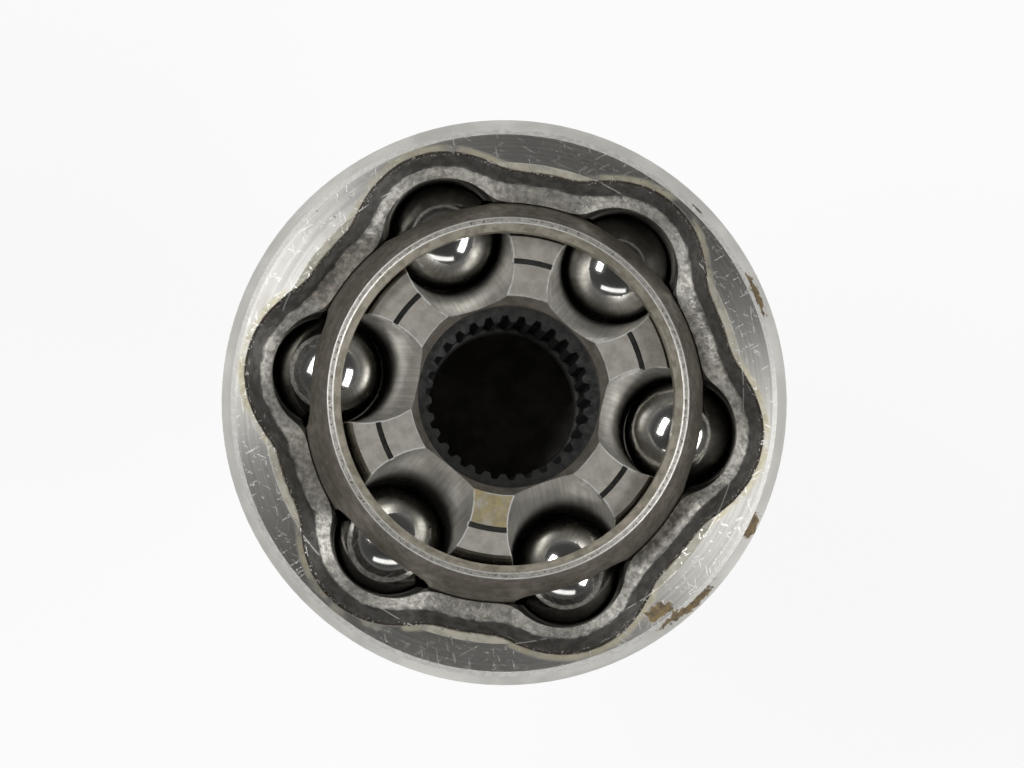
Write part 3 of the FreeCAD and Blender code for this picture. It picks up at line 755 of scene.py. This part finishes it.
@dataclass
class InnerRace:
    """Inner race and its retaining ring: blasted faces, ground tracks and sphere, broached bore."""

    tilt: float = 8.4
    half_width: float = 11.6
    counterbore_r: float = 15.0
    lead_in_r: float = 16.4
    run_in_and_shade_level: float = 4.6
    groove_r: float = 22.1
    groove_width: float = 0.9
    back_chamfer: float = 1.2
    stained_sector: float = 120.0
    stain_half_angle: float = 0.22
    stain_share: float = 0.85
    tracks: BallTracks = field(default_factory=lambda: BallTracks(offset=-4.2))

    def outside(self, p: Painter, groove: TrackAxes, level: Value) -> Look:
        """Paints the sphere, the ball tracks and, where the balls have run them in, painted shade
        with oil deep beside the balls.
        """
        look = p.paint(RACE_SPHERE)
        on_track = p.between(groove.distance, None, self.tracks.border_r, 0.1)
        look = p.cover(look, RACE_TRACK, on_track, groove)
        # Painted shade, with oil: the track darkens towards the ball.
        run_in_and_shade = p.calc("MULTIPLY", on_track, p.between(level, None, self.run_in_and_shade_level, 4.5))
        return p.cover(look, RUN_IN_AND_SHADE, run_in_and_shade, groove)

    def faces(self, p: Painter, look: Look, level: Value) -> Look:
        """Paints both faces, the thin groove in them dark as painted shade, and the oil stain."""
        on_face = p.between(level, self.half_width - 0.05, None, 0.03)
        face = p.calc("MULTIPLY", on_face, p.between(p.r, self.lead_in_r - 0.05, None))
        look = p.cover(look, RACE_FACE, face)
        reach = self.groove_width / 2 + 0.02
        # Painted shade: the thin groove is laid near black.
        in_groove = p.calc("MULTIPLY", p.between(p.r, self.groove_r - reach,
                                                 self.groove_r + reach, 0.04),
                           p.between(level, self.half_width - 0.7, self.half_width - 0.04, 0.04))
        look = p.cover(look, BROACHED_AND_SHADE, in_groove)
        folded = p.turned_from(self.stained_sector)
        half = self.stain_half_angle
        sector = p.calc("MULTIPLY", p.between(folded, -half, half, 0.1), face,
                        p.between(p.r, None, self.groove_r, 1.5), p.cloud(2.4, 0.3, 0.55))
        return p.cover(look, STAIN, p.calc("MULTIPLY", sector, self.stain_share))

    def bore(self, p: Painter, look: Look, groove: TrackAxes, level: Value) -> Look:
        """Paints the lead-in cones, the bore near black as painted shade with oil, and the worn edges
        beside them with painted highlight lines.
        """
        beside_track = p.between(groove.distance, self.tracks.border_r - 0.1, None, 0.05)
        on_lead_in = p.calc("MULTIPLY", p.between(p.r, None, self.lead_in_r + 0.02, 0.05),
                            p.between(level, None, self.half_width - 0.04, 0.04), beside_track)
        look = p.cover(look, LEAD_IN, on_lead_in)
        # Painted shade, with oil: the bore and its back chamfer laid near black.
        in_bore = p.calc("MAXIMUM", p.between(p.r, None, self.counterbore_r - 0.02, 0.05),
                         p.calc("MULTIPLY", p.between(
                             p.r, None, self.counterbore_r + self.back_chamfer, 0.05),
                                p.between(p.z, None, 0.0)))
        look = p.cover(look, BROACHED_AND_SHADE, in_bore)
        # Painted highlight lines, with wear: the track and lead-in edges near the faces laid bright.
        near_face = p.between(level, self.half_width - 1.2, None, 0.6)
        rubbed_and_highlit = p.calc("MULTIPLY", near_face, p.calc("MAXIMUM", *(
            p.between(groove.distance, 8.88, 9.12, 0.1),
            p.between(p.r, self.lead_in_r - 0.1, self.lead_in_r + 0.1, 0.08))),
            p.cloud(5.0, 0.36, 0.52))
        return p.cover(look, NICK_AND_HIGHLIGHT, rubbed_and_highlit)

    def dress(self, node: bpy.types.Object, ring: bpy.types.Object) -> None:
        """Gives the inner race and its retaining ring their materials."""
        p = Painter("blasted_and_ground_race_steel", self.tilt)
        groove = self.tracks.axes(p)
        level = p.calc("ABSOLUTE", p.z)
        look = self.outside(p, groove, level)
        look = self.faces(p, look, level)
        look = self.bore(p, look, groove, level)
        wear(node, p.finish_up(look))
        LOG.info("%s dressed: faces, tracks, sphere, bore", node.name)

        wire = Painter("drawn_spring_wire", self.tilt)
        wear(ring, wire.finish_up(wire.paint(SPRING_WIRE)))
        LOG.info("%s dressed: spring wire", ring.name)


@dataclass
class Balls:
    """Six lapped balls, each with its own faint bruises."""

    def dress(self, nodes: Sequence[bpy.types.Object]) -> None:
        """Gives every ball its mirror finish."""
        for node in nodes:
            low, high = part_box(node.name)
            p = Painter("lapped_chrome_steel_" + node.name, centre=(low + high) / 2)
            look = p.paint(LAPPED)
            haze = p.cloud(2.5, 0.55, 0.75, stretch=(1, 1, 0.3))
            look = p.cover(look, RACE_SPHERE, p.calc("MULTIPLY", haze, 0.10))
            wear(node, p.finish_up(look))
            LOG.info("%s dressed: lapped mirror", node.name)


@dataclass
class AxleThread:
    """Rolled thread on the end of the stub axle, a ridge wound by geometry nodes, in millimetres."""

    root_r: float = 11.08
    crest_r: float = 12.0
    pitch: float = 1.5
    start_z: float = -120.7
    end_z: float = -100.2
    steps: int = 40
    sunk: float = 0.06
    base_share: float = 0.94
    crest_share: float = 0.16
    anisotropic: float = 0.4

    def tree(self, material: bpy.types.Material) -> bpy.types.NodeTree:
        """Builds the thread's node tree with its sizes as named inputs.

        Args:
            material: what the thread is made of.
        Returns:
            The tree.
        """
        tree = bpy.data.node_groups.new("rolled_thread", "GeometryNodeTree")
        for name in ("Root radius", "Ridge height", "Ridge base", "Ridge crest", "Pitch",
                     "Length", "Base height"):
            tree.interface.new_socket(name, in_out="INPUT", socket_type="NodeSocketFloat")
        tree.interface.new_socket("Geometry", in_out="OUTPUT", socket_type="NodeSocketGeometry")
        given = add(tree, "NodeGroupInput").node.outputs
        rotations = add(tree, "Math", (given["Length"], given["Pitch"]), operation="DIVIDE")
        spiral = add(tree, "GeometryNodeCurveSpiral", {
            "Resolution": self.steps, "Rotations": rotations, "Start Radius": given["Root radius"],
            "End Radius": given["Root radius"], "Height": given["Length"], "Reverse": True})
        upright = add(tree, "GeometryNodeSetCurveNormal", {"Curve": spiral}, mode="Z_UP")
        along = add(tree, "GeometryNodeSplineParameter", out="Factor")
        from_end = add(tree, "Math", (1.0, along), operation="SUBTRACT")
        nearest = add(tree, "Math", (along, from_end), operation="MINIMUM")
        grown = add(tree, "Math", (nearest, rotations), operation="MULTIPLY")
        full = add(tree, "Math", (grown, 1.0), operation="MINIMUM")
        swelling = add(tree, "GeometryNodeSetCurveRadius", {"Curve": upright, "Radius": full})
        profile = add(tree, "GeometryNodeCurvePrimitiveQuadrilateral", {
            "Height": given["Ridge height"], "Bottom Width": given["Ridge base"],
            "Top Width": given["Ridge crest"], "Offset": 0.0}, mode="TRAPEZOID")
        lift = add(tree, "Math", (given["Ridge height"], 0.5), operation="MULTIPLY")
        offset = add(tree, "CombineXYZ", (0.0, lift, 0.0))
        centred = add(tree, "GeometryNodeTransform", {"Geometry": profile, "Translation": offset})
        turned = add(tree, "GeometryNodeTransform", {
            "Geometry": centred, "Rotation": (0.0, 0.0, math.radians(-90))})
        mesh = add(tree, "GeometryNodeCurveToMesh", {
            "Curve": swelling, "Profile Curve": turned, "Fill Caps": True})
        rise = add(tree, "CombineXYZ", (0.0, 0.0, given["Base height"]))
        raised = add(tree, "GeometryNodeTransform", {"Geometry": mesh, "Translation": rise})
        real = add(tree, "GeometryNodeRealizeInstances", {"Geometry": raised})
        painted = add(tree, "GeometryNodeSetMaterial", {"Geometry": real, "Material": material})
        result = tree.nodes.new("NodeGroupOutput")
        tree.links.new(painted, result.inputs["Geometry"])
        return tree

    def build(self) -> None:
        """Winds the ridge round the stub axle, as a plain mesh, and fixes it to the outer race."""
        p = Painter("rolled_thread_steel")
        material = p.finish_up(p.paint(THREAD), self.anisotropic)
        tree = self.tree(material)
        carrier = bpy.data.objects.new("axle_thread", bpy.data.meshes.new("axle_thread"))
        bpy.context.scene.collection.objects.link(carrier)
        modifier = carrier.modifiers.new("wind", "NODES")
        modifier.node_group = tree
        sizes = {
            "Root radius": self.root_r - self.sunk,
            "Ridge height": self.crest_r - self.root_r + self.sunk,
            "Ridge base": self.pitch * self.base_share,
            "Ridge crest": self.pitch * self.crest_share,
            "Pitch": self.pitch,
            "Length": self.end_z - self.start_z,
            "Base height": self.start_z,
        }
        for item in tree.interface.items_tree:
            if item.in_out == "INPUT":
                modifier[item.identifier] = sizes[item.name] * MM
        graph = bpy.context.evaluated_depsgraph_get()
        mesh = bpy.data.meshes.new_from_object(carrier.evaluated_get(graph))
        carrier.modifiers.remove(modifier)
        carrier.data = mesh
        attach(carrier, "outer_race")
        LOG.info("%s wound: %d faces", carrier.name, len(mesh.polygons))


@dataclass
class Softbox:
    """A rectangular studio lamp aimed at the joint, in degrees and metres."""

    name: str
    azimuth: float
    elevation: float
    width: float
    height: float
    radiance: float
    distance: float = 0.95

    def build(self, target: Vector) -> None:
        """Puts the lamp up.

        Args:
            target: the point it is aimed at.
        """
        lamp = bpy.data.lights.new(self.name, "AREA")
        lamp.shape = "RECTANGLE"
        lamp.size, lamp.size_y = self.width, self.height
        lamp.energy = self.radiance * math.pi * self.width * self.height
        turn, rise = math.radians(self.azimuth), math.radians(self.elevation)
        away = Vector((math.cos(turn) * math.cos(rise), math.sin(turn) * math.cos(rise),
                       math.sin(rise)))
        lamp_object = bpy.data.objects.new(self.name, lamp)
        bpy.context.scene.collection.objects.link(lamp_object)
        up = (Vector((0, 0, 1)) - away * away.z).normalized()
        side = up.cross(away)
        lamp_object.matrix_world = Matrix.Translation(target + away * self.distance) @ Matrix(
            (side, up, away)).transposed().to_4x4()
        LOG.info("%s lit", self.name)


@dataclass
class Studio:
    """White table, pale walls, a darker ceiling behind the camera, and three softboxes."""

    table_z: float = -0.1232
    table_half: float = 4.0
    table_tone: float = 0.86
    lamp_share: float = 0.12
    ceiling_warmth: float = 0.985
    ceiling: tuple = ((0.0, 0.95), (0.14, 0.72), (0.3, 0.26), (0.5, 0.09), (1.0, 0.055))

    def build(self) -> None:
        """Makes the table, the room's light and the lamps."""
        self.table()
        self.room()
        target = Vector((0, 0, 0))
        for lamp in (
            Softbox("left_softbox", azimuth=14.0, elevation=54.0, width=0.62, height=0.20,
                    radiance=12.5),
            Softbox("right_softbox", azimuth=-157.0, elevation=44.0, width=0.58, height=0.22,
                    radiance=11.3),
            Softbox("front_softbox", azimuth=122.0, elevation=42.0, width=0.90, height=0.16,
                    radiance=1.8),
        ):
            lamp.build(target)

    def table(self) -> None:
        """Lays a plain white table under the stub axle."""
        half = self.table_half
        mesh = bpy.data.meshes.new("table")
        corners = [(-half, -half), (half, -half), (half, half), (-half, half)]
        mesh.from_pydata([(x, y, self.table_z) for x, y in corners], [], [(0, 1, 2, 3)])
        table = bpy.data.objects.new("table", mesh)
        bpy.context.scene.collection.objects.link(table)
        material = bpy.data.materials.new("white_table")
        material.use_nodes = True
        tree = material.node_tree
        tree.nodes.clear()
        path = add(tree, "LightPath").node.outputs
        seen = add(tree, "Math", (path["Is Camera Ray"], path["Is Glossy Ray"]),
                   operation="MAXIMUM")
        seen = add(tree, "Math", (seen, path["Is Transmission Ray"]), operation="MAXIMUM")
        seen = add(tree, "Math", (seen, 1 - self.lamp_share), operation="MULTIPLY")
        paint = add(tree, "BsdfDiffuse", {"Color": (*(self.table_tone,) * 3, 1)})
        glow = add(tree, "Emission", {"Color": (1, 1, 1, 1), "Strength": 1.0})
        mixed = add(tree, "MixShader", (seen, paint, glow))
        output = tree.nodes.new("ShaderNodeOutputMaterial")
        tree.links.new(mixed, output.inputs["Surface"])
        mesh.materials.append(material)
        LOG.info("table laid")

    def room(self) -> None:
        """Lights the room: pale walls at the horizon, a darker ceiling overhead."""
        world = bpy.data.worlds.new("studio")
        bpy.context.scene.world = world
        world.use_nodes = True
        tree = world.node_tree
        tree.nodes.clear()
        way = add(tree, "TexCoord", out="Generated")
        rise = add(tree, "SeparateXYZ", [way], out=2)
        ramp = add(tree, "ValToRGB", [rise]).node
        points = ramp.color_ramp.elements
        while len(points) < len(self.ceiling):
            points.new(0.5)
        for point, (place, level) in zip(points, self.ceiling):
            point.position = place
            point.color = (level, level, level * self.ceiling_warmth, 1)
        glow = add(tree, "Background", {"Color": ramp.outputs[0], "Strength": 1.0})
        output = tree.nodes.new("ShaderNodeOutputWorld")
        tree.links.new(glow, output.inputs["Surface"])
        LOG.info("room lit")


@dataclass
class View:
    """Camera that looks straight down into the mouth, in millimetres and degrees."""

    height: float = 700.5
    width_at_face: float = 166.4
    face_z: float = 13.0
    roll: float = -140.0
    right_of_axis: float = 1.3
    above_axis: float = 3.1

    def build(self) -> None:
        """Makes the camera and hands it to the scene."""
        right = Vector((math.cos(math.radians(self.roll)), math.sin(math.radians(self.roll)), 0))
        up = Vector((-right.y, right.x, 0))
        camera = bpy.data.cameras.new("camera")
        camera.sensor_width = 36.0
        camera.lens = camera.sensor_width * (self.height - self.face_z) / self.width_at_face
        camera.clip_start = 0.01
        camera.clip_end = 100.0
        camera_object = bpy.data.objects.new("camera", camera)
        bpy.context.scene.collection.objects.link(camera_object)
        place = right * self.right_of_axis + up * self.above_axis + Vector((0, 0, self.height))
        camera_object.matrix_world = Matrix.Translation(place * MM) @ Matrix(
            (right, up, Vector((0, 0, 1)))).transposed().to_4x4()
        bpy.context.scene.camera = camera_object
        LOG.info("camera set")


def main() -> None:
    """Dresses the frame, adds the thread, and sets up the studio."""
    logging.basicConfig(level=logging.INFO, format="%(name)s: %(message)s")
    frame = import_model()
    nodes = frame["nodes"]
    scene = bpy.context.scene
    scene.view_settings.view_transform = "Standard"
    View().build()
    OuterRace().dress(nodes["outer_race"])
    Cage().dress(nodes["cage"])
    InnerRace().dress(nodes["inner_race"], nodes["retaining_ring"])
    Balls().dress([nodes[f"ball_{number}"] for number in range(1, 7)])
    AxleThread().build()
    Studio().build()


if __name__ == "__main__":
    main()
